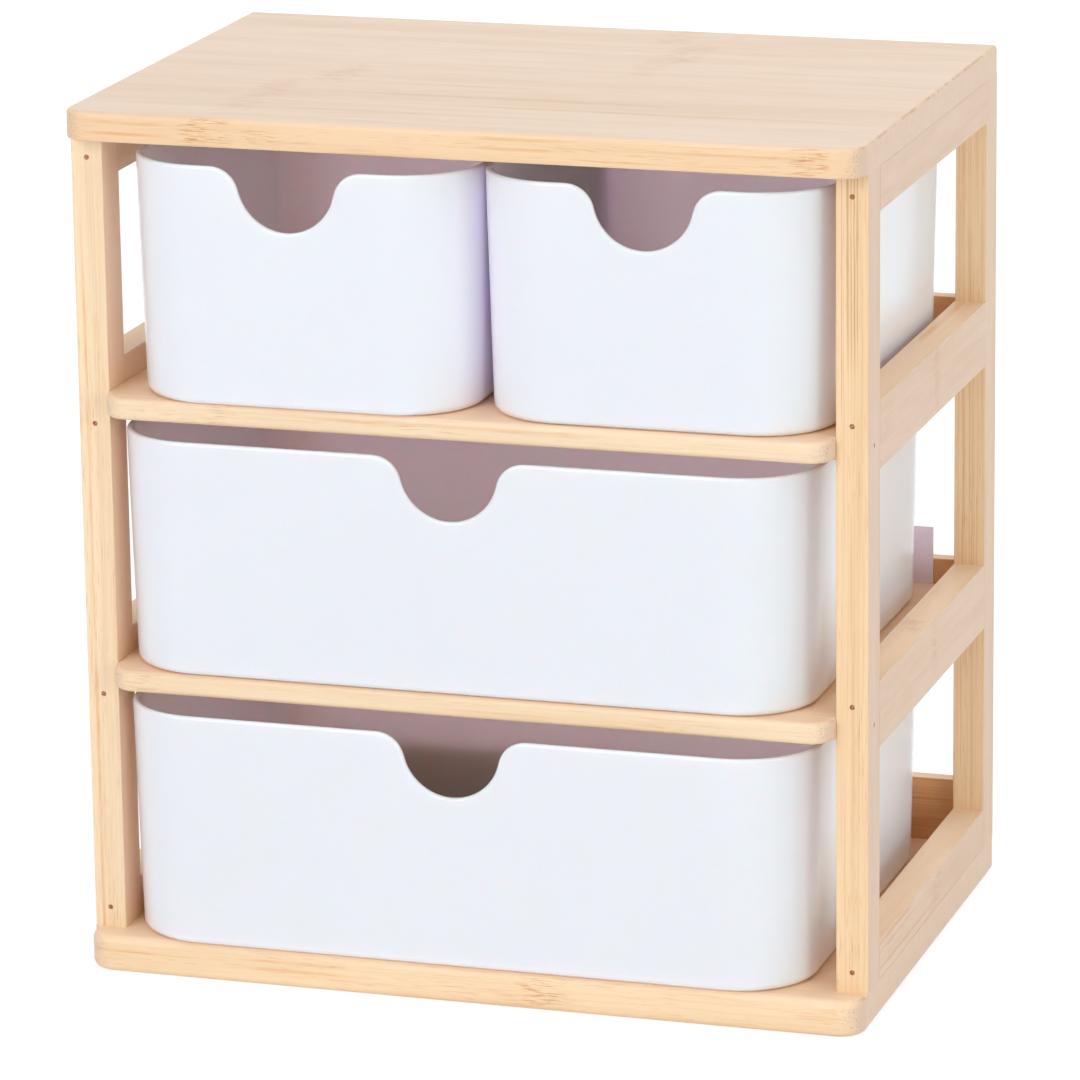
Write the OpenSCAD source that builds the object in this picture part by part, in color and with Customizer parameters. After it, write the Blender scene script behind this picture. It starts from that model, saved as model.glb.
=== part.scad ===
// Desktop mini drawers: an open bamboo frame that holds four moulded drawers.
// Two boards are joined by four posts. Side rails, shelves and back strips stand
// between the posts, and brads driven through the posts hold them. The drawers
// are loose bins that slide on the base board and the shelves.
// Millimetres, +Z up, front towards -Y, origin at the centre of the underside.

/* [Frame] */
// Width of the frame, side to side
frame_width = 274; // [240:1:340]
// Depth of the top and base boards, front to back
frame_depth = 187; // [165:1:230]
// Height of the frame, underside to top
frame_height = 300; // [260:1:350]
// Thickness of the top board
top_board_thickness = 10; // [7:0.5:14]
// Thickness of the base board
base_board_thickness = 13; // [9:0.5:18]
// Plan radius of the two front corners of the boards
board_front_radius = 9; // [5:0.5:14]
// Plan radius of the two rear corners of the boards
board_rear_radius = 1; // [0.5:0.5:4]
// Rounding along the upper edge of the top board and the front edges of the shelves
edge_rounding = 1.8; // [0.5:0.1:2.4]
// Rounding along the lower front edge of the top board
top_board_lower_rounding = 0.6; // [0.2:0.1:2.4]
// Rounding along the lower edge and the upper front edge of the base board
base_edge_rounding = 2.8; // [1:0.1:4]

/* [Shelves] */
// Thickness of the two shelves
shelf_thickness = 7.5; // [5:0.5:10]
// How far a shelf's front edge stands back from the boards' front edge
shelf_inset = 1; // [0:0.5:4]
// Plan radius of a shelf's front corners
shelf_corner_radius = 8; // [3:0.5:12]

/* [Posts and rails] */
// Width of a post and of every side rail, measured across the frame
post_width = 11; // [8:0.5:15]
// Depth of a post, front to back
post_depth = 15; // [11:0.5:20]
// How far the front posts stand back from the boards' front edge
post_front_inset = 10; // [9:0.5:14]
// How far the rear posts stand in from the boards' rear edge
post_rear_inset = 0; // [0:0.5:6]
// Height of the side rails under the top board
top_rail_height = 15; // [9:0.5:18]
// Height of the side rails that hold the ends of the shelves
shelf_rail_height = 23; // [18:0.5:28]
// Height of the side rails on the base board
base_rail_height = 14; // [9:0.5:20]
// How far the shelf rails, and the back strips beside them, stand up past their shelf
shelf_rail_rise = 9.3; // [4:0.1:10]
// Height of the strips across the back
back_strip_height = 23; // [16:0.5:28]
// Thickness of the strips across the back
back_strip_thickness = 5.5; // [4:0.5:8]
// How far the back strips stand in from the rear faces of the posts
back_strip_inset = 4.25; // [0:0.25:7]
// Rounding along the long edges of posts, rails and strips
arris_rounding = 0.3; // [0.2:0.1:1]

/* [Drawers] */
// Width that a row of drawers leaves free between the side rails, at the rims
row_play = 9.4; // [5:0.2:14]
// Height that is left free above a drawer
headroom = 5.8; // [3:0.2:14]
// How far the rim of a closed drawer stands out past the boards' front edge
rim_overhang = 1; // [0:0.5:8]
// Gap between a closed drawer's rim and the back strip that hangs behind it
back_gap = 0.4; // [0.3:0.1:4]
// How much further in the top row goes, which has no strip behind its rims
top_row_set_in = 1; // [0:0.1:1]
// Gap between a drawer and the rail it stands beside
side_gap = 1.3; // [0.2:0.1:2.5]
// Gap between the two drawers of the top row
pair_gap = 0.4; // [0.3:0.1:2]
// Thickness of the drawers' walls and floor
drawer_wall = 2.2; // [1.6:0.1:3.2]
// Outside plan radius of a drawer's corners, at the rim
drawer_corner_radius = 28; // [16:0.5:32]
// How far each wall leans in from the rim to the floor
drawer_draft = 1.8; // [0.8:0.1:4]
// Radius of the rolled edge round a drawer's floor
floor_edge_radius = 3; // [1.5:0.1:6]

/* [Drawer positions] */
// How far the left drawer of the top row is pulled out
top_left_pull = 2.5; // [0:0.5:140]
// How far the right drawer of the top row is pulled out
top_right_pull = 0; // [0:0.5:140]
// How far the middle drawer is pulled out
middle_pull = 0; // [0:0.5:140]
// How far the bottom drawer is pulled out
bottom_pull = 2; // [0:0.5:140]

/* [Finger notch] */
// Depth of the notch below the rim
notch_depth = 21.3; // [15:0.1:28]
// Radius of the bottom of the notch
notch_radius = 17; // [12:0.5:19]
// Radius of the two lips where the notch meets the rim
notch_lip_radius = 10; // [5:0.5:12]

/* [Brads] */
// Diameter of a brad's shank
brad_diameter = 1.2; // [0.9:0.1:1.6]
// Diameter of a brad's head
brad_head_diameter = 1.8; // [1.7:0.1:2.6]
// Length of a brad under its head
brad_length = 25; // [22:1:32]
// Thickness of a brad's head
brad_head_thickness = 0.7; // [0.5:0.1:1.2]
// How far a brad's head is sunk below the wood
brad_sink = 0.4; // [0.2:0.1:1]
// How far the brads in the shelf rails stand above or below the middle of the shelf
brad_offset = 7.7; // [3:0.1:8]

/* [Blank tag] */
// Width of the plain tag on the lower back strip
tag_width = 24; // [12:1:40]
// Height of the tag
tag_height = 20.7; // [12:0.1:24]
// Thickness of the tag
tag_thickness = 0.4; // [0.2:0.1:0.6]
// Distance from the tag to the rear right post
tag_offset = 8.7; // [4:0.1:20]

/* [Hidden] */

bamboo = [0.95, 0.82, 0.64];
white_plastic = [0.92, 0.93, 0.97];
steel = [0.42, 0.38, 0.34];
blank_card = [0.88, 0.85, 0.88];

// Sides of the frame, used as signs along X and Y
LEFT = -1;
RIGHT = 1;
FRONT = -1;
REAR = 1;

// Facets round a quarter turn are a quarter of these
corner_facets = 48;
wire_facets = 24;
edge_steps = 3;
// The least width left between the rounded edge and the middle of a corner
smallest_flat = 0.1;
// How far a cut runs on past the surface that it opens
past = 1;

// Plan lines, measured along Y from the centre of the boards
board_front_y = -frame_depth / 2;
board_rear_y = frame_depth / 2;
post_front_y = board_front_y + post_front_inset;
post_rear_y = board_rear_y - post_rear_inset;
rail_front_y = post_front_y + post_depth;
rail_rear_y = post_rear_y - post_depth;
strip_front_y = post_rear_y - back_strip_inset - back_strip_thickness;

// The clear width between posts, and between the side rails
bay_width = frame_width - 2 * post_width;
// The clear height of each of the three bays
bay_height = (frame_height - top_board_thickness - base_board_thickness
    - 2 * shelf_thickness) / 3;

// The surfaces that the drawers stand on, from the base board up
floor_levels = [for (i = [0:2]) base_board_thickness + i * (bay_height + shelf_thickness)];
// The middle height of the lower and of the upper shelf
shelf_middles = [for (i = [1:2]) floor_levels[i] - shelf_thickness / 2];
// The top edges of the rails and strips at the lower and at the upper shelf
rail_tops = [for (i = [1:2]) floor_levels[i] + shelf_rail_rise];
top_board_z = frame_height - top_board_thickness;

// Drawers, measured at the rim
drawer_height = bay_height - headroom;
drawer_front_y = board_front_y - rim_overhang;
drawer_rear_y = strip_front_y - back_gap;
drawer_depth = drawer_rear_y - drawer_front_y;
closed_y = (drawer_front_y + drawer_rear_y) / 2;
full_width = bay_width - row_play;
half_width = (full_width - pair_gap) / 2;
rim_rounding = drawer_wall / 2;
rim_bevel = drawer_wall / 4;
// The full-width drawers stand by the left rails, the top pair by the right ones
lower_drawer_x = -bay_width / 2 + side_gap + full_width / 2;
top_right_x = bay_width / 2 - side_gap - half_width / 2;
top_left_x = top_right_x - half_width - pair_gap;

// Brads: where they enter the wood, and how deep they reach below its face
brad_reach = brad_sink + brad_head_thickness + brad_length;
brad_x = (frame_width - post_width) / 2;
side_brad_y = post_front_y + post_depth / 2;

// Points on an arc of radius r about [x, y], from one angle to the other
function arc(x, y, r, from, to) =
    [for (i = [0:edge_steps])
        let (a = from + (to - from) * i / edge_steps) [x + r * cos(a), y + r * sin(a)]];

// Height of the brad in a shelf rail, kept clear of the rail's edges
function shelf_brad_height(side, level) =
    let (highest = rail_tops[level] - brad_head_diameter,
         lowest = rail_tops[level] - shelf_rail_height + brad_head_diameter)
    max(lowest, min(highest, shelf_middles[level] + side * brad_offset));

// Heights of the brads in the posts of one side: base, lower, upper and top rail
function brad_heights(side) = [
    base_board_thickness + base_rail_height / 2,
    shelf_brad_height(side, 0),
    shelf_brad_height(side, 1),
    top_board_z - top_rail_height / 2
];

// A round disc that stands on z = 0: the corner of a board, its two edges rounded
module corner_disc(radius, thickness, lower, upper) {
    rotate_extrude($fn = corner_facets)
        polygon(concat(
            [[0, 0]],
            arc(radius - lower, lower, lower, -90, 0),
            arc(radius - upper, thickness - upper, upper, 0, 90),
            [[0, thickness]]));
}

// The two front corners of a board that stands on z = 0
module front_corners(width, front_y, thickness, radius, lower, upper) {
    for (side = [LEFT, RIGHT])
        translate([side * (width / 2 - radius), front_y + radius, 0])
            corner_disc(radius, thickness, lower, upper);
}

// The top or the base board, with its outer face on z = 0. The outer face is rounded all
// the way round; the inner face only in front of the posts, which stand flush with it
module frame_board(thickness, outer, inner) {
    rear_radius = max(board_rear_radius, outer + smallest_flat);
    hull() {
        front_corners(frame_width, board_front_y, thickness, board_front_radius, outer, inner);
        for (side = [LEFT, RIGHT]) {
            translate([side * (frame_width / 2 - rear_radius), board_rear_y - rear_radius, 0])
                corner_disc(rear_radius, thickness, outer, smallest_flat);
            for (y = [post_front_y + board_rear_radius, board_rear_y - board_rear_radius])
                translate([side * (frame_width / 2 - board_rear_radius), y, outer])
                    cylinder(r = board_rear_radius, h = thickness - outer,
                        $fn = corner_facets);
        }
    }
}

// The cross section of planed stock, centred, with softened arrises
module planed_section(width, height) {
    square([width - 2 * arris_rounding, height], center = true);
    square([width, height - 2 * arris_rounding], center = true);
    for (x = [LEFT, RIGHT], y = [FRONT, REAR])
        translate([x * (width / 2 - arris_rounding), y * (height / 2 - arris_rounding)])
            circle(r = arris_rounding, $fn = wire_facets);
}

// The space a brad takes: its shank, and its head sunk in the wood, driven along +Z
module brad_hole() {
    cylinder(d = brad_diameter, h = brad_reach, $fn = wire_facets);
    translate([0, 0, -past])
        cylinder(d = brad_head_diameter, h = past + brad_sink + brad_head_thickness,
            $fn = wire_facets);
}

// One brad with its head below z = 0, driven along +Z
module brad() {
    translate([0, 0, brad_sink]) {
        cylinder(d = brad_head_diameter, h = brad_head_thickness, $fn = wire_facets);
        cylinder(d = brad_diameter, h = brad_head_thickness + brad_length,
            $fn = wire_facets);
    }
}

// Puts its children at each brad of one post, driven from the outer face inwards
module at_post_brads(side, end) {
    face_y = end == FRONT ? post_front_y : post_rear_y;
    for (z = brad_heights(side))
        translate([side * brad_x, face_y, z]) rotate([end * 90, 0, 0]) children();
}

// Puts its children at the brads that hold the shelves' ends, driven inwards
module at_side_brads(side) {
    for (z = shelf_middles)
        translate([side * frame_width / 2, side_brad_y, z])
            rotate([0, -side * 90, 0]) children();
}

module post(side, end) {
    middle_y = end == FRONT ? post_front_y + post_depth / 2 : post_rear_y - post_depth / 2;
    color(bamboo) difference() {
        translate([side * brad_x, middle_y, base_board_thickness])
            linear_extrude(top_board_z - base_board_thickness)
                planed_section(post_width, post_depth);
        at_post_brads(side, end) brad_hole();
        if (end == FRONT) at_side_brads(side) brad_hole();
    }
}

// A side rail between the posts, its lower edge at height z
module side_rail(side, z, height) {
    color(bamboo) difference() {
        translate([side * brad_x, rail_rear_y, z + height / 2])
            rotate([90, 0, 0])
                linear_extrude(rail_rear_y - rail_front_y) planed_section(post_width, height);
        for (end = [FRONT, REAR]) at_post_brads(side, end) brad_hole();
    }
}

module shelf_rail(side, level) {
    side_rail(side, rail_tops[level] - shelf_rail_height, shelf_rail_height);
}

// A shelf, rounded where it stands out in front of the posts and square between them
module shelf(level) {
    color(bamboo) difference() {
        translate([0, 0, shelf_middles[level] - shelf_thickness / 2])
            hull() {
                front_corners(bay_width, board_front_y + shelf_inset, shelf_thickness,
                    shelf_corner_radius, edge_rounding, edge_rounding);
                translate([-bay_width / 2, post_front_y, 0])
                    cube([bay_width, strip_front_y - post_front_y, shelf_thickness]);
            }
        for (side = [LEFT, RIGHT]) at_side_brads(side) brad_hole();
    }
}

// A strip across the back between the rear posts, its lower edge at height z
module back_strip(z) {
    color(bamboo)
        translate([-bay_width / 2, strip_front_y + back_strip_thickness / 2,
                   z + back_strip_height / 2])
            rotate([90, 0, 90])
                linear_extrude(bay_width)
                    planed_section(back_strip_thickness, back_strip_height);
}

// The corner of a drawer: a cone that widens to the rim, with a rolled floor edge
module drawer_corner() {
    foot = drawer_corner_radius - drawer_draft;
    rotate_extrude($fn = corner_facets)
        polygon(concat(
            [[0, 0]],
            arc(foot - floor_edge_radius, floor_edge_radius, floor_edge_radius, -90, 0),
            arc(drawer_corner_radius - rim_rounding, drawer_height - rim_rounding,
                rim_rounding, 0, 90),
            [[0, drawer_height]]));
}

// The same corner of the hollow inside, above the floor
module hollow_corner() {
    rim = drawer_corner_radius - drawer_wall;
    foot = rim - drawer_draft;
    inner_edge = max(floor_edge_radius - drawer_wall / 2, smallest_flat);
    rotate_extrude($fn = corner_facets)
        polygon(concat(
            [[0, drawer_wall]],
            arc(foot - inner_edge, drawer_wall + inner_edge, inner_edge, -90, 0),
            [[rim, drawer_height], [rim, drawer_height + past], [0, drawer_height + past]]));
}

// The cone that bevels the inner edge of the rim
module rim_bevel_corner() {
    inner = drawer_corner_radius - drawer_wall;
    translate([0, 0, drawer_height - rim_bevel])
        cylinder(r1 = inner, r2 = inner + 2 * rim_bevel, h = 2 * rim_bevel,
            $fn = corner_facets);
}

// Hulls one corner shape into the four corners of a drawer
module four_corners(width) {
    x = width / 2 - drawer_corner_radius;
    y = drawer_depth / 2 - drawer_corner_radius;
    hull()
        for (sx = [LEFT, RIGHT], sy = [FRONT, REAR])
            translate([sx * x, sy * y, 0]) children();
}

// Outline of the finger notch in the plane of the front: a round bottom that
// turns over into a lip on each side
module notch_outline() {
    bottom_z = drawer_height - notch_depth + notch_radius;
    lip_z = drawer_height - notch_lip_radius;
    lip_x = sqrt(pow(notch_radius + notch_lip_radius, 2) - pow(bottom_z - lip_z, 2));
    share = notch_radius / (notch_radius + notch_lip_radius);
    meet = [lip_x * share, bottom_z + (lip_z - bottom_z) * share];
    translate([0, bottom_z]) circle(r = notch_radius, $fn = 2 * corner_facets);
    difference() {
        polygon([
            [-meet[0], meet[1]], [meet[0], meet[1]], [lip_x, lip_z],
            [lip_x, drawer_height + past], [-lip_x, drawer_height + past], [-lip_x, lip_z]
        ]);
        for (side = [LEFT, RIGHT])
            translate([side * lip_x, lip_z]) circle(r = notch_lip_radius, $fn = corner_facets);
    }
}

// A drawer with its middle at x, pulled out of the bay above one floor level
module drawer(width, x, level, pull) {
    notch_reach = drawer_draft + 2 * drawer_wall;
    color(white_plastic)
        translate([x, closed_y - pull, floor_levels[level]])
            difference() {
                four_corners(width) drawer_corner();
                four_corners(width) hollow_corner();
                four_corners(width) rim_bevel_corner();
                translate([0, notch_reach - drawer_depth / 2, 0]) rotate([90, 0, 0])
                    linear_extrude(notch_reach + past) notch_outline();
            }
}

module top_board() {
    color(bamboo) translate([0, 0, frame_height]) mirror([0, 0, 1])
        frame_board(top_board_thickness, edge_rounding, top_board_lower_rounding);
}

module base_board() {
    color(bamboo) frame_board(base_board_thickness, base_edge_rounding, base_edge_rounding);
}

module upper_shelf() { shelf(1); }
module lower_shelf() { shelf(0); }

module front_left_post() { post(LEFT, FRONT); }
module front_right_post() { post(RIGHT, FRONT); }
module rear_left_post() { post(LEFT, REAR); }
module rear_right_post() { post(RIGHT, REAR); }

module left_top_rail() { side_rail(LEFT, top_board_z - top_rail_height, top_rail_height); }
module right_top_rail() { side_rail(RIGHT, top_board_z - top_rail_height, top_rail_height); }
module left_upper_rail() { shelf_rail(LEFT, 1); }
module right_upper_rail() { shelf_rail(RIGHT, 1); }
module left_lower_rail() { shelf_rail(LEFT, 0); }
module right_lower_rail() { shelf_rail(RIGHT, 0); }
module left_base_rail() { side_rail(LEFT, base_board_thickness, base_rail_height); }
module right_base_rail() { side_rail(RIGHT, base_board_thickness, base_rail_height); }

module upper_back_strip() { back_strip(rail_tops[1] - back_strip_height); }
module lower_back_strip() { back_strip(rail_tops[0] - back_strip_height); }
module base_back_strip() { back_strip(base_board_thickness); }

module front_brads() {
    color(steel) for (side = [LEFT, RIGHT]) at_post_brads(side, FRONT) brad();
}

module rear_brads() {
    color(steel) for (side = [LEFT, RIGHT]) at_post_brads(side, REAR) brad();
}

module side_brads() {
    color(steel) for (side = [LEFT, RIGHT]) at_side_brads(side) brad();
}

// A plain blank tag on the front of the lower back strip, behind the middle drawer
module blank_tag() {
    color(blank_card)
        translate([bay_width / 2 - tag_offset - tag_width, strip_front_y - tag_thickness,
                   floor_levels[1]])
            cube([tag_width, tag_thickness, tag_height]);
}

module drawer_top_left() {
    drawer(half_width, top_left_x, 2, top_left_pull - top_row_set_in);
}

module drawer_top_right() {
    drawer(half_width, top_right_x, 2, top_right_pull - top_row_set_in);
}

module drawer_middle() { drawer(full_width, lower_drawer_x, 1, middle_pull); }
module drawer_bottom() { drawer(full_width, lower_drawer_x, 0, bottom_pull); }

top_board();
base_board();
upper_shelf();
lower_shelf();
front_left_post();
front_right_post();
rear_left_post();
rear_right_post();
left_top_rail();
left_upper_rail();
left_lower_rail();
left_base_rail();
right_top_rail();
right_upper_rail();
right_lower_rail();
right_base_rail();
upper_back_strip();
lower_back_strip();
base_back_strip();
front_brads();
rear_brads();
side_brads();
blank_tag();
drawer_top_left();
drawer_top_right();
drawer_middle();
drawer_bottom();
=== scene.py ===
import math

import bmesh
import bpy
from mathutils import Matrix, Vector


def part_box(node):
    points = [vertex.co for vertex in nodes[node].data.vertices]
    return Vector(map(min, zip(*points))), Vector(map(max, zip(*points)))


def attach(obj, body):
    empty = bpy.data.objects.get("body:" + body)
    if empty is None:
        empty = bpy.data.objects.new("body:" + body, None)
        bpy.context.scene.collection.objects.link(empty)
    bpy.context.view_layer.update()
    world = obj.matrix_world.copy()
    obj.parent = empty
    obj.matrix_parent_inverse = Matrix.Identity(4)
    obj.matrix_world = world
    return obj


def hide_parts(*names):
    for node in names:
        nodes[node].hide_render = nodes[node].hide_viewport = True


# Desktop mini drawers: looks. Metres, same frame as the CAD model: +Z up, front
# towards -Y. Lengths written with MM are millimetres.

MM = 0.001
X, Y, Z = 0, 1, 2
# Enough for light to get deep into the white drawers
DIFFUSE_BOUNCES = 12

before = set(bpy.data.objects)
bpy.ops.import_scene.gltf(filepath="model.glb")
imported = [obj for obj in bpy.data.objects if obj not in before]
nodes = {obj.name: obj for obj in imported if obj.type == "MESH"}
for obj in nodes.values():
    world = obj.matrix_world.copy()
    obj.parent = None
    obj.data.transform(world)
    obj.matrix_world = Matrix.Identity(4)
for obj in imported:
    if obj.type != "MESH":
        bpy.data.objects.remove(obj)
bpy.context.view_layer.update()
scene = bpy.context.scene
scene.view_settings.view_transform = "Standard"
scene.cycles.diffuse_bounces = DIFFUSE_BOUNCES


# ---------------------------------------------------------------- node trees

# The Mix node's first colour input and its colour output
COLOUR_A = 6
COLOUR_OUT = 2
# Levels between which a noise goes softly from low to high
SOFT = (0.3, 0.7)


class Tree:
    """A short way to write a material's or world's nodes. A value may be a number, a
    colour or a socket."""

    def __init__(self, material):
        material.use_nodes = True
        self.tree = material.node_tree
        self.tree.nodes.clear()

    def node(self, kind, **settings):
        made = self.tree.nodes.new(kind)
        for key, value in settings.items():
            setattr(made, key, value)
        return made

    def put(self, socket, value):
        if isinstance(value, bpy.types.NodeSocket):
            self.tree.links.new(value, socket)
        else:
            socket.default_value = value

    def feed(self, made, *values):
        """Puts the values into a node's first inputs, and returns its first output."""
        for socket, value in zip(made.inputs, values):
            self.put(socket, value)
        return made.outputs[0]

    def math(self, operation, *values):
        return self.feed(self.node("ShaderNodeMath", operation=operation), *values)

    def product(self, first, *others):
        for value in others:
            first = self.math("MULTIPLY", first, value)
        return first

    def place(self, units_per_metre=1.0):
        """Where the point is on the object, in metres or in finer units."""
        made = self.node("ShaderNodeVectorMath", operation="SCALE")
        self.put(made.inputs[0], self.node("ShaderNodeTexCoord").outputs["Object"])
        made.inputs["Scale"].default_value = units_per_metre
        return made.outputs["Vector"]

    def split(self, vector):
        made = self.node("ShaderNodeSeparateXYZ")
        self.put(made.inputs[0], vector)
        return made.outputs

    def join(self, x, y, z):
        return self.feed(self.node("ShaderNodeCombineXYZ"), x, y, z)

    def noise(self, vector, scale=1.0, detail=2.0, roughness=0.5):
        made = self.node("ShaderNodeTexNoise")
        self.put(made.inputs["Vector"], vector)
        made.inputs["Scale"].default_value = scale
        made.inputs["Detail"].default_value = detail
        made.inputs["Roughness"].default_value = roughness
        return made.outputs["Fac"]

    def steps(self, value, low, high, low_out=0.0, high_out=1.0):
        """Goes smoothly from low_out at low to high_out at high."""
        made = self.node("ShaderNodeMapRange", interpolation_type="SMOOTHSTEP")
        return self.feed(made, value, low, high, low_out, high_out)

    def mix(self, share, a, b):
        """Colour a where share is 0 and colour b where it is 1."""
        made = self.node("ShaderNodeMix", data_type="RGBA")
        self.put(made.inputs["Factor"], share)
        for socket, value in zip(made.inputs[COLOUR_A : COLOUR_A + 2], (a, b)):
            self.put(socket, (*value, 1) if isinstance(value, tuple) else value)
        return made.outputs[COLOUR_OUT]

    def tint(self, share, base, colour):
        """base multiplied by colour, as far as share says."""
        tinted = self.mix(share, base, colour)
        tinted.node.blend_type = "MULTIPLY"
        return tinted

    def bump(self, height, distance, strength):
        made = self.node("ShaderNodeBump")
        made.inputs["Strength"].default_value = strength
        made.inputs["Distance"].default_value = distance
        self.put(made.inputs["Height"], height)
        return made.outputs[0]

    def surface(self, **inputs):
        """The Principled shader, linked to the output."""
        shader = self.node("ShaderNodeBsdfPrincipled")
        for key, value in inputs.items():
            self.put(shader.inputs[key.replace("_", " ")], value)
        self.output(shader.outputs[0])
        return shader

    def either(self, share, first, second):
        """Shader first where share is 0 and shader second where it is 1."""
        return self.feed(self.node("ShaderNodeMixShader"), share, first, second)

    def output(self, shader):
        made = self.node("ShaderNodeOutputMaterial")
        self.put(made.inputs["Surface"], shader)


def srgb(*levels):
    """A colour given as 8-bit sRGB levels above 10, as linear values."""
    return tuple(((level / 255 + 0.055) / 1.055) ** 2.4 for level in levels)


# ---------------------------------------------------------------- bamboo

# Tones by the way a face looks: to the side, to the front or rear, up or down. The side
# and top tones are paler than the front's: painted sheen of the white surroundings
SIDE_TONE_PAINTED_SHEEN = srgb(222, 196, 168)
FRONT_TONE = srgb(242, 214, 168)
TOP_TONE_PAINTED_SHEEN = srgb(230, 209, 184)
# Sides inside the frame, and level faces under the top board: without the painted sheen,
# and painted lighter to lift the shade on them
INNER_TONE_PAINTED_LIGHT = srgb(238, 210, 172)
# What these are multiplied by where the wood is darker
BROAD_TINT = (0.955, 0.93, 0.90)
STREAK_TINT = (0.88, 0.76, 0.64)
DASH_TINT = (0.80, 0.58, 0.43)
LINE_TINT = (0.92, 0.70, 0.50)
STRIPE_TINT = (0.58, 0.40, 0.26)
NODE_TINT = (0.86, 0.74, 0.66)
FIBRE_END_TINT = (0.70, 0.55, 0.44)
# How far fibres wander across the grain in boards and in narrow pieces, mm
BOARD_SWING = 3.0
NARROW_SWING = 0.8
# How far the sway's waves reach across and along the fibres, mm
SWAY_SIZE = (30.0, 60.0)
# Noises drawn out along the grain: sizes across and along the fibres in mm, and the
# noise's detail and roughness where they aren't the usual ones
BROAD = (9.0, 150.0)
STREAK = (1.25, 75.0, 3.0, 0.6)
THIN = (0.9, 120.0, 1.0)
DASH = (0.38, 9.0, 2.0, 0.55)
DASH_PATCH = (8.0, 40.0)
NODE_DASH = (0.42, 7.0, 2.0, 0.6)
STRIPE = (0.62, 500.0, 1.0)
RAGGED = (3.5, 60.0)
UNEVEN = (3.0, 14.0)
SHEEN = (3.0, 20.0)
# Noises that are alike in all directions: features per mm, then as above
CLOUDS = (0.16, 3.0, 0.6)
PATCHES = 0.12
# Levels between which these noises go from least to most, and what they give there where
# that isn't 0 and 1
BROAD_STEPS = (0.35, 0.65)
STREAK_STEPS = (0.48, 0.74, 0.0, 0.45)
THIN_STEPS = (0.68, 0.76, 0.0, 0.55)
DASH_STEPS = (0.54, 0.70)
DASH_PATCH_STEPS = (0.40, 0.68, 0.12, 0.60)
NODE_DASH_STEPS = (0.50, 0.60)
STRIPE_STEPS = (0.52, 0.64)
UNEVEN_STEPS = (0.30, 0.60, 0.45, 1.0)
CLOUD_STEPS = (0.36, 0.62, 0.10, 0.75)
PATCH_STEPS = (0.35, 0.65)
SHEEN_STEPS = (*SOFT, 0.42, 0.54)
# The same for the way a surface looks: from front to rear, onto a mark's face, onto end
# grain, round an upright corner, and over the arris above end grain
REAR_STEPS = (-0.1, 0.1)
FACE_STEPS = (0.3, 0.6)
END_STEPS = (0.45, 0.85)
TURN_STEPS = (0.12, 0.25, 0.0, 0.8)
ARRIS_STEPS = (0.14, 0.25, 0.0, 0.7)
# What faces to the front or rear add to streaks and dashes, and what all faces have
MORE_STREAKS = (0.5, 0.5)
MORE_DASHES = (0.6, 0.4)
# How far one seed's noises are from the next's
SEED_ALONG = 137.0
SEED_SWAY = 3.1
SEED_STRIPS = 7.7
# How far a mark's ends swing, and how much of it is full and how much fades, all in
# halves of its length or width
END_SWING = 2.4
MARK_LENGTH = (0.5, 0.8)
LINE_WIDTH = (0.5, 1.0)
PATCH_WIDTH = (0.7, 0.6)
# How much of the fibres' sway a line follows
LINE_SWAY = 0.35
# How much strips differ, how dark the glue seams between them are, half a seam's dark
# line, and where it has faded, mm
STRIP_SHARE = 0.7
SEAM_SHARE = 0.22
SEAM_HALF = 0.1
SEAM_FADED = 0.35
# Fibre ends on end grain: how many per mm, how far from a dot's middle it fades, and how
# dark it is
FIBRE_ENDS = 1.3
DOT_STEPS = (0.14, 0.36, 1.0, 0.0)
DOT_SHARE = 0.16
# How high the streaks stand beside the depth of the dashes, and the relief's height and
# strength
STREAK_HEIGHT = 0.6
GRAIN_RELIEF = (0.05 * MM, 0.6)


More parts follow.
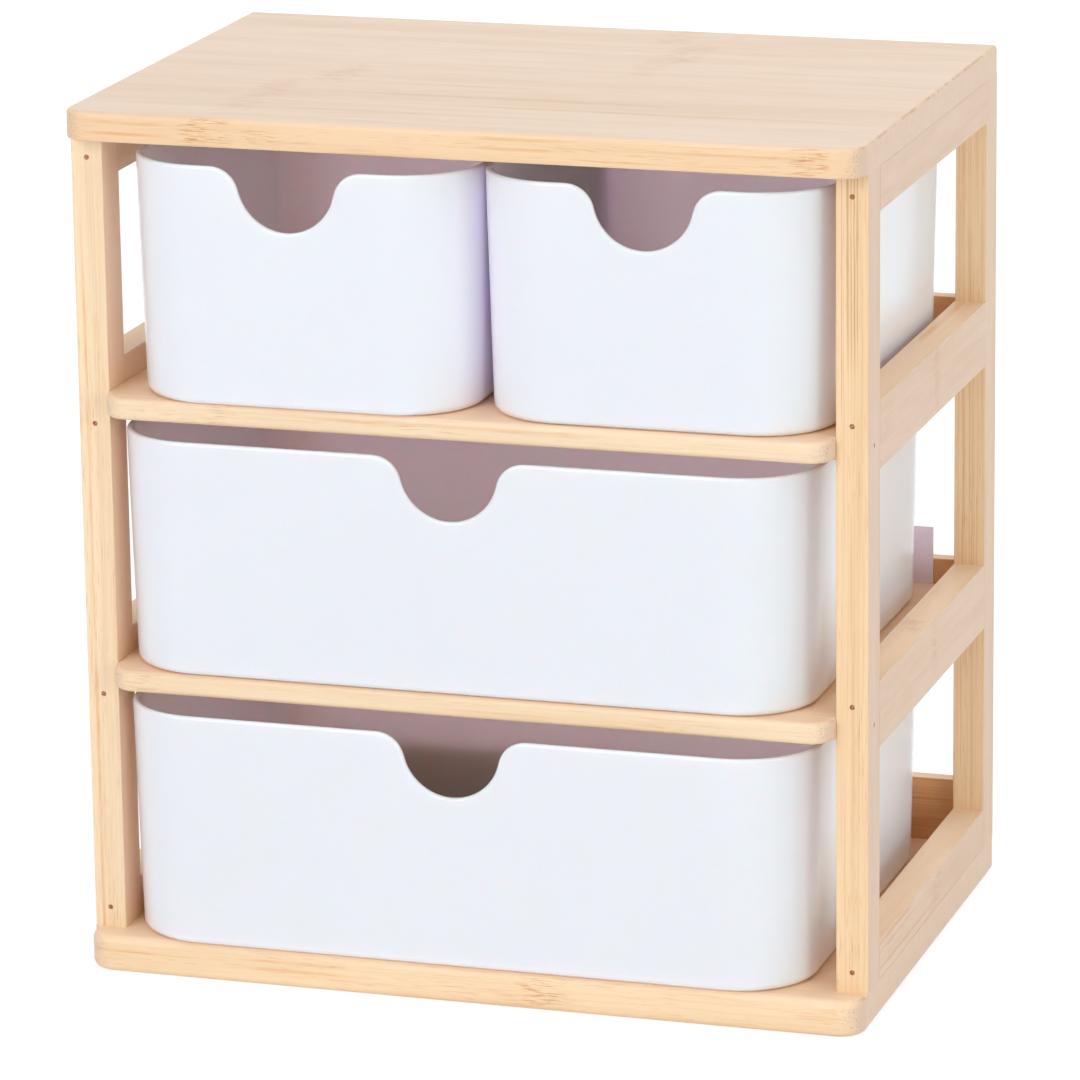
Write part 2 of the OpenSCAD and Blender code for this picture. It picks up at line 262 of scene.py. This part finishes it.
class Wood(Tree):
    """A material's nodes with the places and noises that bamboo needs. The fibres follow
    the axis grain. Lengths in mm."""

    def __init__(self, material, grain, seed, swing):
        super().__init__(material)
        self.grain = grain
        self.mm = self.place(1 / MM)
        self.axes = self.split(self.mm)
        self.normal = self.split(self.node("ShaderNodeNewGeometry").outputs["Normal"])
        self.facing = [self.product(self.normal[i], self.normal[i]) for i in (X, Y, Z)]
        self.sides = [self.axes[i] for i in (X, Y, Z) if i != grain]
        self.along = self.math("ADD", self.axes[grain], seed * SEED_ALONG)
        across, length = SWAY_SIZE
        wave = self.noise(
            self.join(
                self.math("DIVIDE", self.along, length),
                self.math("DIVIDE", self.sides[0], across),
                seed * SEED_SWAY,
            )
        )
        self.sway = self.math("MULTIPLY_ADD", wave, swing, -swing / 2)
        self.wandering = [self.math("ADD", side, self.sway) for side in self.sides]

    def fibres(self, across, length, detail=2.0, roughness=0.5):
        """Noise drawn out along the grain, of sizes across and along the fibres."""
        a, b = (self.math("DIVIDE", side, across) for side in self.wandering)
        spot = self.join(a, b, self.math("DIVIDE", self.along, length))
        return self.noise(spot, 1.0, detail, roughness)

    def near(self, value, middle, size, shares):
        """1 round middle, and 0 further out. shares of size are full and fade."""
        full, fading = shares
        far = self.math("ABSOLUTE", self.math("SUBTRACT", value, middle))
        return self.steps(far, size * full, size * (full + fading), 1.0, 0.0)

    def painted_facing_tone(self, tones, painted_shading):
        """The wood's tone by the way a face looks, with painted sheen, light and shade in it."""
        side, level = tones
        # The forward face's tone times painted light and shade; faces to the rear keep the front
        # tone
        front = tuple(tone * part for tone, part in zip(FRONT_TONE, painted_shading))
        to_rear = self.steps(self.normal[Y], *REAR_STEPS)
        colour = self.mix(self.facing[Z], self.mix(to_rear, front, FRONT_TONE), level)
        return self.mix(self.facing[X], colour, side)

    def glued(self, colour, strips, seed):
        """Strips of slightly different tone, with fine seams between them."""
        axis, seam, width = strips
        turns = self.math("DIVIDE", self.math("SUBTRACT", self.axes[axis], seam), width)
        lot = self.node("ShaderNodeTexWhiteNoise", noise_dimensions="1D")
        self.put(lot.inputs["W"], self.math("ADD", self.math("FLOOR", turns), seed * SEED_STRIPS))
        colour = self.tint(self.product(lot.outputs["Value"], STRIP_SHARE), colour, BROAD_TINT)
        off = self.math("ABSOLUTE", self.math("SUBTRACT", turns, self.math("ROUND", turns)))
        dark = self.steps(off, SEAM_HALF / width, SEAM_FADED / width, SEAM_SHARE, 0.0)
        return self.tint(dark, colour, STREAK_TINT)

    def marked(self, colour, dashes, marks):
        """colour with the marks other than dashes on it, and dashes with theirs."""
        strokes = {
            "line": (self.steps(self.fibres(*UNEVEN), *UNEVEN_STEPS), LINE_TINT),
            "smudge": (self.steps(self.noise(self.mm, *CLOUDS), *CLOUD_STEPS), NODE_TINT),
            "stripes": (self.steps(self.fibres(*STRIPE), *STRIPE_STEPS), STRIPE_TINT),
        }
        coarse = self.steps(self.fibres(*NODE_DASH), *NODE_DASH_STEPS)
        uneven_ends = self.fibres(*RAGGED)
        for kind, face, where, half, beside, spread, strength in marks:
            swing = half * END_SWING
            ragged = self.math("MULTIPLY_ADD", uneven_ends, swing, self.axes[self.grain])
            length = self.near(ragged, where + swing / 2, half, MARK_LENGTH)
            place = self.axes[X + Y + Z - self.grain - face]
            if kind == "line":
                place = self.math("ADD", place, self.product(self.sway, LINE_SWAY))
                width = self.near(place, beside, spread, LINE_WIDTH)
            else:
                width = self.near(place, beside, spread, PATCH_WIDTH)
            on_face = self.steps(self.facing[face], *FACE_STEPS)
            share = self.product(length, width, on_face, strength)
            if kind == "dashes":
                dashes = self.math("MAXIMUM", dashes, self.product(share, coarse))
            else:
                pattern, tint = strokes[kind]
                colour = self.tint(self.product(share, pattern), colour, tint)
        return colour, dashes

    def cut(self, colour):
        """End grain, with the ends of the fibre bundles as dots. They are strongest where
        an upright corner turns, and the arris above is darker in places."""
        a, b = (self.product(side, FIBRE_ENDS) for side in self.sides)
        dots = self.node("ShaderNodeTexVoronoi", feature="F1")
        self.put(dots.inputs["Vector"], self.join(a, b, 0.0))
        dots.inputs["Scale"].default_value = 1.0
        dot = self.steps(dots.outputs["Distance"], *DOT_STEPS)
        end_colour = self.tint(self.product(dot, DOT_SHARE), SIDE_TONE_PAINTED_SHEEN, FIBRE_END_TINT)
        colour = self.mix(self.steps(self.facing[self.grain], *END_STEPS), colour, end_colour)
        turned = self.steps(self.product(self.facing[X], self.facing[Y]), *TURN_STEPS)
        colour = self.tint(self.product(dot, turned), colour, FIBRE_END_TINT)
        arris = self.steps(self.product(self.facing[X], self.facing[Z]), *ARRIS_STEPS)
        patchy = self.steps(self.noise(self.mm, PATCHES), *PATCH_STEPS)
        return self.tint(self.product(arris, patchy), colour, FIBRE_END_TINT)


def bamboo(name, grain, seed, tones, painted_shading, strips, marks):
    """Bamboo whose fibres follow the axis grain. tones are those of its side and level
    faces, which carry painted sheen and painted light. The argument after them is what the
    tone of its forward face is multiplied by: painted light and shade. strips is the
    axis across which a board is glued up, with one seam's place and the strips' width,
    or None. marks are as in MARKS. Lengths in mm."""
    material = bpy.data.materials.new(name)
    w = Wood(material, grain, seed, BOARD_SWING if strips else NARROW_SWING)
    broad = w.steps(w.fibres(*BROAD), *BROAD_STEPS)
    colour = w.tint(broad, w.painted_facing_tone(tones, painted_shading), BROAD_TINT)
    if strips:
        colour = w.glued(colour, strips, seed)
    streak = w.fibres(*STREAK)
    more_streaks = w.math("MULTIPLY_ADD", w.facing[Y], *MORE_STREAKS)
    streaks = w.product(more_streaks, w.steps(streak, *STREAK_STEPS))
    colour = w.tint(streaks, colour, STREAK_TINT)
    lines = w.product(more_streaks, w.steps(w.fibres(*THIN), *THIN_STEPS))
    colour = w.tint(lines, colour, LINE_TINT)
    dashes = w.product(
        w.steps(w.fibres(*DASH), *DASH_STEPS),
        w.steps(w.fibres(*DASH_PATCH), *DASH_PATCH_STEPS),
        w.math("MULTIPLY_ADD", w.facing[Y], *MORE_DASHES),
    )
    if marks:
        colour, dashes = w.marked(colour, dashes, marks)
    height = w.math("SUBTRACT", w.product(streak, STREAK_HEIGHT), dashes)
    w.surface(
        Base_Color=w.cut(w.tint(dashes, colour, DASH_TINT)),
        Roughness=w.steps(w.fibres(*SHEEN), *SHEEN_STEPS),
        Normal=w.bump(height, *GRAIN_RELIEF),
    )
    return material


# ---------------------------------------------------------------- other materials

# Clouds, peel, stains and pulp are noises: features per metre, and the detail and roughness
# where they aren't the usual ones. Reliefs have a height and a strength.
PLASTIC_OUTSIDE = (0.93, 0.89, 0.995)
# The inner walls' tone, lighter and pinker than the outer: painted light inside the drawers
PLASTIC_INSIDE_PAINTED_LIGHT = (0.97, 0.95, 0.985)
PLASTIC_CLOUD_TINT = (0.985, 0.98, 0.985)
PLASTIC_CLOUDS = 14.0
PLASTIC_CLOUD_SHARE = (0.0, 0.35)
PLASTIC_PEEL = 900.0
PLASTIC_RELIEF = (0.02 * MM, 0.25)
PLASTIC_ROUGHNESS = (0.16, 0.22)
PLASTIC_IOR = 1.5
# How far light gets inside the plastic, and the shares of that for red, green and blue
PLASTIC_DEPTH = 6 * MM
PLASTIC_REACH = (1.0, 0.64, 0.74)


def plastic():
    """Glossy moulded plastic, slightly translucent. The inside attribute is 1 on the inner
    walls, which get a lighter, pinker tone: painted light."""
    material = bpy.data.materials.new("drawer_plastic")
    t = Tree(material)
    place = t.place()
    inside = t.node("ShaderNodeAttribute", attribute_name="inside").outputs["Fac"]
    cloud = t.noise(place, PLASTIC_CLOUDS)
    # Inner walls in their own lighter tone: painted light
    colour = t.mix(inside, PLASTIC_OUTSIDE, PLASTIC_INSIDE_PAINTED_LIGHT)
    cloudy = t.steps(cloud, *SOFT, *PLASTIC_CLOUD_SHARE)
    shader = t.surface(
        Base_Color=t.tint(cloudy, colour, PLASTIC_CLOUD_TINT),
        Roughness=t.steps(cloud, *SOFT, *PLASTIC_ROUGHNESS),
        IOR=PLASTIC_IOR,
        Normal=t.bump(t.noise(place, PLASTIC_PEEL), *PLASTIC_RELIEF),
        Subsurface_Weight=1.0,
        Subsurface_Scale=PLASTIC_DEPTH,
        Subsurface_Radius=PLASTIC_REACH,
    )
    shader.subsurface_method = "RANDOM_WALK"
    return material


BRAD_TONES = srgb(128, 70, 42), srgb(204, 148, 100)
BRAD_STAINS = (2500.0, 3.0, 0.6)
BRAD_STAIN_STEPS = (0.40, 0.60)
BRAD_RELIEF = (0.05 * MM, 0.5)
BRAD_ROUGHNESS = (0.35, 0.6)
BRAD_METALLIC = 0.3
TAG_TONES = srgb(222, 211, 218), srgb(232, 223, 229)
TAG_PULP = (1500.0, 4.0, 0.7)
TAG_RELIEF = (0.03 * MM, 0.4)
TAG_ROUGHNESS = 0.7


def brad_steel():
    """Steel heads, stained like the wood around them."""
    material = bpy.data.materials.new("brad_steel")
    t = Tree(material)
    stain = t.noise(t.place(), *BRAD_STAINS)
    t.surface(
        Base_Color=t.mix(t.steps(stain, *BRAD_STAIN_STEPS), *BRAD_TONES),
        Roughness=t.steps(stain, *SOFT, *BRAD_ROUGHNESS),
        Metallic=BRAD_METALLIC,
        Normal=t.bump(stain, *BRAD_RELIEF),
    )
    return material


def tag_card():
    """Bare card."""
    material = bpy.data.materials.new("tag_card")
    t = Tree(material)
    pulp = t.noise(t.place(), *TAG_PULP)
    t.surface(
        Base_Color=t.mix(t.steps(pulp, *SOFT), *TAG_TONES),
        Roughness=TAG_ROUGHNESS,
        Normal=t.bump(pulp, *TAG_RELIEF),
    )
    return material


# ---------------------------------------------------------------- meshes

# Steps round a corner in plan and round an edge
CORNER_STEPS = 16
EDGE_STEPS = 6
# How far past a rounding a flat side has its next points, and the least radius
HOLD = 0.4 * MM
SHARP = 0.15 * MM


def corner_path(low, high, radii):
    """A rounded rectangle in plan, as (point, outward direction) stations that start at
    the front right corner. radii are those of the front and rear corners. A station just
    past each end of an arc keeps the straight sides flat."""
    (x0, y0), (x1, y1) = low, high
    front, rear = radii
    corners = [
        (x1 - front, y0 + front, front, -90),
        (x1 - rear, y1 - rear, rear, 0),
        (x0 + rear, y1 - rear, rear, 90),
        (x0 + front, y0 + front, front, 180),
    ]
    stations = []
    for x, y, radius, start in corners:
        arc = []
        for i in range(CORNER_STEPS + 1):
            angle = math.radians(start + 90 * i / CORNER_STEPS)
            out = Vector((math.cos(angle), math.sin(angle), 0))
            arc.append((Vector((x, y, 0)) + out * radius, out))
        first, last = arc[0], arc[-1]
        before = (first[0] - last[1] * HOLD, first[1])
        after = (last[0] - first[1] * HOLD, last[1])
        stations += [before, *arc, after]
    return stations


def quarter(start):
    """(outward, upward) points of a quarter circle of radius 1, from start degrees on."""
    angles = [math.radians(start + 90 * i / EDGE_STEPS) for i in range(EDGE_STEPS + 1)]
    return [(math.cos(a), math.sin(a)) for a in angles]


def loft(name, rings, shares=None):
    """A closed mesh through rings of points, with a flat face at each end. shares gives
    each ring's value of the inside attribute."""
    work = bmesh.new()
    loops = [[work.verts.new(p) for p in ring] for ring in rings]
    count = len(loops[0])
    for lower, upper in zip(loops, loops[1:]):
        for i in range(count):
            j = (i + 1) % count
            work.faces.new((lower[i], lower[j], upper[j], upper[i]))
    work.faces.new(list(reversed(loops[0])))
    work.faces.new(loops[-1])
    for face in work.faces:
        face.smooth = True
    mesh = bpy.data.meshes.new(name)
    work.to_mesh(mesh)
    work.free()
    if shares:
        inside = mesh.attributes.new("inside", "FLOAT", "POINT")
        inside.data.foreach_set("value", [v for v in shares for _ in range(count)])
    made = bpy.data.objects.new(name, mesh)
    scene.collection.objects.link(made)
    return made


def board(node, radii, lower, upper, whole=None):
    """A board in the place of a CAD node. radii are those of its front and rear corners
    in plan, lower and upper the roundings along its lower and upper front edge. They
    fade out at the posts, but on the lower or upper face that whole names they go all
    the way round."""
    low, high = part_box(node)
    front, rear = radii
    corner_y = low.y + front
    square_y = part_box("front_left_post")[0].y

    def outline(inset):
        shift = Vector((inset, inset))
        plan = (front - inset, max(rear - inset, SHARP))
        points = [p for p, _ in corner_path(low.xy + shift, high.xy - shift, plan)]
        corner = len(points) // 4
        right = [Vector((high.x - inset, y, 0)) for y in (square_y, square_y + HOLD)]
        left = [Vector((low.x + inset, p.y, 0)) for p in reversed(right)]
        return points[:corner] + right + points[corner:-corner] + left + points[-corner:]

    weights = [
        min(max((square_y - p.y) / (square_y - corner_y), 0), 1) for p in outline(0)
    ]

    def ring(inset, z, everywhere, least=0.0):
        pairs = zip(outline(least), outline(inset), weights)
        return [
            Vector((*p.lerp(q, 1 if everywhere else weight).xy, z)) for p, q, weight in pairs
        ]

    below, above = whole == "lower", whole == "upper"
    rings = [ring(lower + HOLD, low.z, below, HOLD)]
    rings += [ring(lower * (1 - c), low.z + lower * (1 + s), below) for c, s in quarter(-90)]
    rings += [ring(0, low.z + lower + HOLD, below), ring(0, high.z - upper - HOLD, above)]
    rings += [ring(upper * (1 - c), high.z - upper * (1 - s), above) for c, s in quarter(0)]
    rings += [ring(upper + HOLD, high.z, above, HOLD)]
    made = loft("bamboo_" + node, rings)
    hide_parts(node)
    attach(made, "frame")
    return made


# Drawer sizes, as in the CAD model, and the steps of its forms
WALL = 2.2 * MM
DRAFT = 1.8 * MM
CORNER = 28 * MM
FLOOR_EDGE = 3 * MM
INNER_EDGE = 1.9 * MM
NOTCH_DEPTH = 21.3 * MM
NOTCH_RADIUS = 17 * MM
NOTCH_LIP = 10 * MM
LIP_STEPS = 14
BOTTOM_STEPS = 24
WALL_ROWS = 6
RIM_STEPS = 10


def notch_path(height, depth):
    """(x, z, direction) stations from left to right along a line that runs inside the
    wall, depth below the notch's edge. direction points into the opening."""
    middle_z = height - NOTCH_DEPTH + NOTCH_RADIUS
    lip_z = height - NOTCH_LIP
    lip_x = math.sqrt((NOTCH_RADIUS + NOTCH_LIP) ** 2 - (middle_z - lip_z) ** 2)
    lean = math.degrees(math.atan2(middle_z - lip_z, lip_x))
    lip, bottom = [], []
    for i in range(LIP_STEPS + 1):
        angle = math.radians(90 - (90 - lean) * i / LIP_STEPS)
        c, s = math.cos(angle), math.sin(angle)
        reach = NOTCH_LIP - depth
        lip.append((reach * c - lip_x, lip_z + reach * s, Vector((c, 0, s))))
    for i in range(1, BOTTOM_STEPS):
        angle = math.radians(180 + lean + (180 - 2 * lean) * i / BOTTOM_STEPS)
        c, s = math.cos(angle), math.sin(angle)
        reach = NOTCH_RADIUS + depth
        bottom.append((reach * c, middle_z + reach * s, Vector((-c, 0, -s))))
    other = [(-x, z, Vector((-d.x, 0, d.z))) for x, z, d in reversed(lip)]
    return lip + bottom + other


def drawer(node):
    """A moulded bin with leaning walls, a round rim that follows the finger notch, and
    rolled edges round its floor, in the place of a CAD node."""
    low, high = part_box(node)
    middle = (low + high) / 2
    height = high.z - low.z
    round_rim = WALL / 2
    up = Vector((0, 0, 1))
    outline = corner_path(low.xy, high.xy, (CORNER, CORNER))
    stations = [(p, out, height - round_rim, up) for p, out in outline]
    forward = Vector((0, -1, 0))
    for x, z, direction in notch_path(height, round_rim):
        stations.append((Vector((middle.x + x, low.y, 0)), forward, z, direction))

    def ring(spot):
        """spot gives (inset from the rim's outer line, height, x shift) for a station."""
        points = []
        for p, out, top, direction in stations:
            inset, z, aside = spot(top, direction)
            points.append(Vector((p.x + aside, p.y, low.z + z)) - out * inset)
        return points

    def lean(z):
        return DRAFT * (1 - z / height)

    def wall_rows(foot):
        """Shares of the way from the rim down to the foot, near both ends as well."""
        near = HOLD / (height - foot)
        return [near] + [i / WALL_ROWS for i in range(1, WALL_ROWS)] + [1 - near]

    rings, shares = [], []

    def add(spot, share=0.0):
        rings.append(ring(spot))
        shares.append(share)

    foot_inset = lean(FLOOR_EDGE)
    add(lambda top, d: (foot_inset + FLOOR_EDGE + HOLD, 0, 0))
    for c, s in quarter(-90):
        inset, z = foot_inset + FLOOR_EDGE * (1 - c), FLOOR_EDGE * (1 + s)
        add(lambda top, d: (inset, z, 0))
    for share in reversed(wall_rows(FLOOR_EDGE)):
        def spot(top, d):
            z = top + (FLOOR_EDGE - top) * share
            return lean(z), z, 0
        add(spot)
    for i in range(RIM_STEPS + 1):
        angle = math.pi * i / RIM_STEPS
        c, s = math.cos(angle), math.sin(angle)

        def spot(top, d):
            z = top + round_rim * s * d.z
            return lean(z) + round_rim * (1 - c), z, round_rim * s * d.x
        # The rim goes halfway to the inner walls' lighter tone, painted light
        add(spot, 0.5 * i / RIM_STEPS)
    inner_foot = WALL + INNER_EDGE
    for share in wall_rows(inner_foot):
        def spot(top, d):
            z = top + (inner_foot - top) * share
            return lean(z) + WALL, z, 0
        add(spot, 1.0)
    inner_inset = lean(inner_foot) + WALL
    for c, s in reversed(quarter(-90)):
        inset, z = inner_inset + INNER_EDGE * (1 - c), WALL + INNER_EDGE * (1 + s)
        add(lambda top, d: (inset, z, 0), 1.0)
    add(lambda top, d: (inner_inset + INNER_EDGE + HOLD, WALL, 0), 1.0)

    made = loft("bin_" + node, rings, shares)
    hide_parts(node)
    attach(made, node)
    return made


# ---------------------------------------------------------------- the object

# Sizes of the boards, as in the CAD model: radii of the front and rear corners, the
# roundings along the lower and upper front edge, and the face rounded all the way round
EDGE = 1.8 * MM
TOP_LOWER_EDGE = 0.6 * MM
BASE_EDGE = 2.8 * MM
BOARD_CORNERS = (9 * MM, 1 * MM)
SHELF_CORNERS = (8 * MM, 2 * SHARP)
BOARDS = {
    "top_board": (BOARD_CORNERS, TOP_LOWER_EDGE, EDGE, "upper"),
    "base_board": (BOARD_CORNERS, BASE_EDGE, BASE_EDGE, "lower"),
    "upper_shelf": (SHELF_CORNERS, EDGE, EDGE),
    "lower_shelf": (SHELF_CORNERS, EDGE, EDGE),
}
# Strips that the boards are glued from: the axis across them, a seam's place and the
# strips' width
STRIPS = (Y, 6, 30.5)
GRAINS = {"post": Z, "rail": Y, "strip": X}
DRAWERS = ("drawer_top_left", "drawer_top_right", "drawer_middle", "drawer_bottom")
BRADS = ("front_brads", "rear_brads", "side_brads")
BOARD_SEED = 1
NARROW_SEED = 11
# Painted light and shade: what the tone of a piece's forward face is multiplied by, darker
# on some pieces and lighter on others, much darker on the back strips, which lie in shade
PAINTED_FRONT_SHADING = {
    "top_board": (0.95, 0.93, 0.93),
    "upper_shelf": (0.99, 1.06, 1.17),
    "lower_shelf": (1.01, 1.09, 1.20),
    "base_board": (1.02, 1.05, 1.10),
    "front_left_post": (1.0, 1.06, 1.14),
    "front_right_post": (0.98, 0.96, 0.94),
    "upper_back_strip": (0.80, 0.62, 0.44),
    "lower_back_strip": (0.78, 0.59, 0.42),
    "base_back_strip": (0.74, 0.54, 0.38),
}
# Marks in the wood: (kind, axis that the marked face looks along, place along the grain,
# half the length, place across, half the width, strength), in mm
MARKS = {
    "top_board": [
        ("smudge", Z, 27, 6, 81, 16, 0.55),
        ("smudge", Z, 39, 7, 51, 16, 0.65),
        ("smudge", Z, 32, 6, 21, 16, 0.45),
        ("smudge", Z, -66, 6, -9, 16, 0.6),
        ("smudge", Z, -80, 6, -39, 16, 0.6),
        ("smudge", Z, -82, 6, -69, 16, 0.4),
        ("line", Z, -22, 30, -22, 1.4, 0.5),
        ("line", Z, -10, 50, -40, 1.6, 0.45),
        ("line", Z, 40, 50, -54, 1.4, 0.4),
        ("line", Z, -30, 45, -70, 1.6, 0.4),
        ("dashes", Y, -86, 9, 295.5, 5, 1.0),
        ("dashes", Y, -66, 7, 294.5, 2, 0.7),
        ("dashes", Y, 119, 6, 295.5, 5, 1.0),
        ("line", Y, -116, 14, 297.0, 0.5, 0.6),
        ("line", Y, -116, 17, 293.3, 0.5, 0.8),
        ("line", Y, 92, 24, 296.0, 0.4, 0.6),
        ("line", Y, 22, 14, 297.7, 0.6, 0.6),
        ("line", Y, 20, 14, 294.3, 0.5, 0.5),
    ],
    "upper_shelf": [
        ("dashes", Y, -84, 5, 199, 4, 0.5),
        ("line", Y, 10, 60, 200, 0.5, 0.4),
    ],
    "lower_shelf": [
        ("dashes", Y, -113, 5, 104, 4, 0.6),
        ("line", Y, 40, 50, 103, 0.5, 0.4),
    ],
    "base_board": [
        ("dashes", Y, 26, 9, 7, 5, 0.9),
        ("line", Y, -125, 14, 8, 0.6, 0.6),
        ("line", Y, -58, 20, 6, 0.6, 0.6),
        ("line", Y, -56, 18, 9, 0.5, 0.5),
    ],
    "front_right_post": [
        ("stripes", Y, 270, 48, 130.2, 3.6, 0.62),
        ("stripes", Y, 150, 160, 131, 5, 0.14),
    ],
    "front_left_post": [
        ("line", Y, 150, 150, -134.0, 0.5, 0.7),
        ("stripes", Y, 170, 140, -131.0, 3.0, 0.12),
    ],
    "right_upper_rail": [
        ("dashes", X, 8, 3, 200, 12, 0.35),
        ("smudge", X, 8, 6, 200, 12, 0.3),
        ("line", Z, 50, 30, 129, 1.2, 0.9),
    ],
    "right_lower_rail": [
        ("dashes", X, 6, 4, 107, 9, 0.5),
        ("smudge", Z, 0, 8, 131, 4, 0.9),
    ],
    "right_base_rail": [
        ("line", X, -50, 26, 25.5, 0.8, 0.9),
        ("line", X, -48, 24, 22.5, 0.6, 0.6),
        ("line", X, -30, 34, 16.5, 0.5, 0.7),
        ("dashes", X, 10, 7, 20, 7, 0.5),
    ],
    "rear_right_post": [("stripes", Y, 150, 160, 131, 5, 0.3)],
    "lower_back_strip": [("stripes", Y, 0, 150, 116, 14, 0.5)],
    "base_back_strip": [("stripes", Y, 0, 150, 24, 14, 0.6)],
}


def wood(node, grain, seed, strips=None):
    """The bamboo of one CAD node, in its own tones and with its own marks. Its tones carry
    painted sheen, and painted light and shade.
    """
    # Tones and multiplier with painted sheen, light and shade for this piece
    side = INNER_TONE_PAINTED_LIGHT if "left" in node else SIDE_TONE_PAINTED_SHEEN
    level = TOP_TONE_PAINTED_SHEEN if node == "top_board" else INNER_TONE_PAINTED_LIGHT
    painted_shading = PAINTED_FRONT_SHADING.get(node, (1, 1, 1))
    return bamboo("bamboo_" + node, grain, seed, (side, level), painted_shading, strips, MARKS.get(node))


def paint(piece, material):
    piece.data.materials.clear()
    piece.data.materials.append(material)


def dress_object():
    """Boards and drawers get new meshes, and all other pieces keep those of the CAD."""
    for seed, (node, sizes) in enumerate(BOARDS.items(), BOARD_SEED):
        paint(board(node, *sizes), wood(node, X, seed, STRIPS))
    for seed, node in enumerate(sorted(nodes), NARROW_SEED):
        kind = node.split("_")[-1]
        if kind in GRAINS:
            paint(nodes[node], wood(node, GRAINS[kind], seed))
    white = plastic()
    for node in DRAWERS:
        paint(drawer(node), white)
    steel = brad_steel()
    for node in BRADS:
        paint(nodes[node], steel)
    paint(nodes["blank_tag"], tag_card())


# ---------------------------------------------------------------- camera, floor, light

CAMERA_AT = (0.6313, -1.9948, 0.7044)
CAMERA_AZIMUTH = 17.60
CAMERA_ELEVATION = 15.155
CAMERA_ROLL = -0.77
CAMERA_LENS = 209.57
SENSOR_WIDTH = 36
VIEW_END = 60


def turn(degrees, axis):
    return Matrix.Rotation(math.radians(degrees), 4, axis)


def add_camera():
    data = bpy.data.cameras.new("camera")
    data.lens = CAMERA_LENS
    data.sensor_width = SENSOR_WIDTH
    data.clip_end = VIEW_END
    camera = bpy.data.objects.new("camera", data)
    camera.matrix_world = (
        Matrix.Translation(CAMERA_AT)
        @ turn(CAMERA_AZIMUTH, "Z")
        @ turn(90 - CAMERA_ELEVATION, "X")
        @ turn(CAMERA_ROLL, "Z")
    )
    scene.collection.objects.link(camera)
    scene.camera = camera


FLOOR_SIZE = 30
FLOOR_TONES = (0.86, 0.86, 0.86), (0.87, 0.87, 0.87)
FLOOR_CLOUDS = 3.0
# The share of the floor's own light and shadow that is seen, and its white's strength
FLOOR_SHADOW = 0.25
FLOOR_WHITE = 1.12
# The background as it is seen, and as it lights the object
WHITE = (1, 1, 1)
AMBIENT = (0.53, 0.53, 0.57)
# What the lamps face
MIDDLE = (0, 0, 0.15)


def sees_white(t):
    """1 for the rays that see the background white: camera, glossy and transmission."""
    rays = t.node("ShaderNodeLightPath").outputs
    seen = t.math("MAXIMUM", rays["Is Camera Ray"], rays["Is Glossy Ray"])
    return t.math("MAXIMUM", seen, rays["Is Transmission Ray"])


def floor_material():
    """Pale floor that reads as white, keeps a soft share of the shadow, and can't be
    seen from below."""
    material = bpy.data.materials.new("floor")
    t = Tree(material)
    cloud = t.noise(t.place(), FLOOR_CLOUDS)
    diffuse = t.node("ShaderNodeBsdfDiffuse")
    t.put(diffuse.inputs["Color"], t.mix(t.steps(cloud, *SOFT), *FLOOR_TONES))
    white = t.node("ShaderNodeEmission")
    white.inputs["Strength"].default_value = FLOOR_WHITE
    shown = t.product(sees_white(t), 1 - FLOOR_SHADOW)
    above = t.either(shown, diffuse.outputs[0], white.outputs[0])
    clear = t.node("ShaderNodeBsdfTransparent").outputs[0]
    t.output(t.either(t.node("ShaderNodeNewGeometry").outputs["Backfacing"], above, clear))
    return material


def add_floor():
    mesh = bpy.data.meshes.new("floor")
    half = FLOOR_SIZE / 2
    corners = [(-half, -half, 0), (half, -half, 0), (half, half, 0), (-half, half, 0)]
    mesh.from_pydata(corners, [], [(0, 1, 2, 3)])
    mesh.materials.append(floor_material())
    floor = bpy.data.objects.new("floor", mesh)
    scene.collection.objects.link(floor)


def add_world():
    world = bpy.data.worlds.new("world")
    scene.world = world
    t = Tree(world)
    background = t.node("ShaderNodeBackground")
    t.put(background.inputs["Color"], t.mix(sees_white(t), AMBIENT, WHITE))
    out = t.node("ShaderNodeOutputWorld")
    t.put(out.inputs["Surface"], background.outputs[0])


def add_softbox(name, at, towards, size, watts, colour=(1, 1, 1)):
    """A rectangular area lamp at one point that faces another."""
    data = bpy.data.lights.new(name, "AREA")
    data.shape = "RECTANGLE"
    data.size, data.size_y = size
    data.energy = watts
    data.color = colour
    lamp = bpy.data.objects.new(name, data)
    lamp.location = at
    lamp.visible_camera = False
    lamp.rotation_euler = (Vector(towards) - Vector(at)).to_track_quat("-Z", "Y").to_euler()
    scene.collection.objects.link(lamp)
    return lamp


def add_lamps():
    """Softboxes round the object. The rear one isn't seen in reflections."""
    add_softbox("key", (-0.9, -2.4, 1.3), MIDDLE, (1.4, 1.4), 29, (0.95, 0.89, 1.0))
    add_softbox("top", (0.2, -0.3, 2.2), MIDDLE, (1.6, 1.6), 12)
    add_softbox("right", (2.1, -1.2, 0.5), MIDDLE, (0.9, 0.9), 12, (0.95, 0.95, 1.0))
    rear = add_softbox("rear", (0.25, 1.7, 0.7), MIDDLE, (1.8, 1.2), 17)
    rear.visible_glossy = False


dress_object()
add_camera()
add_floor()
add_world()
add_lamps()
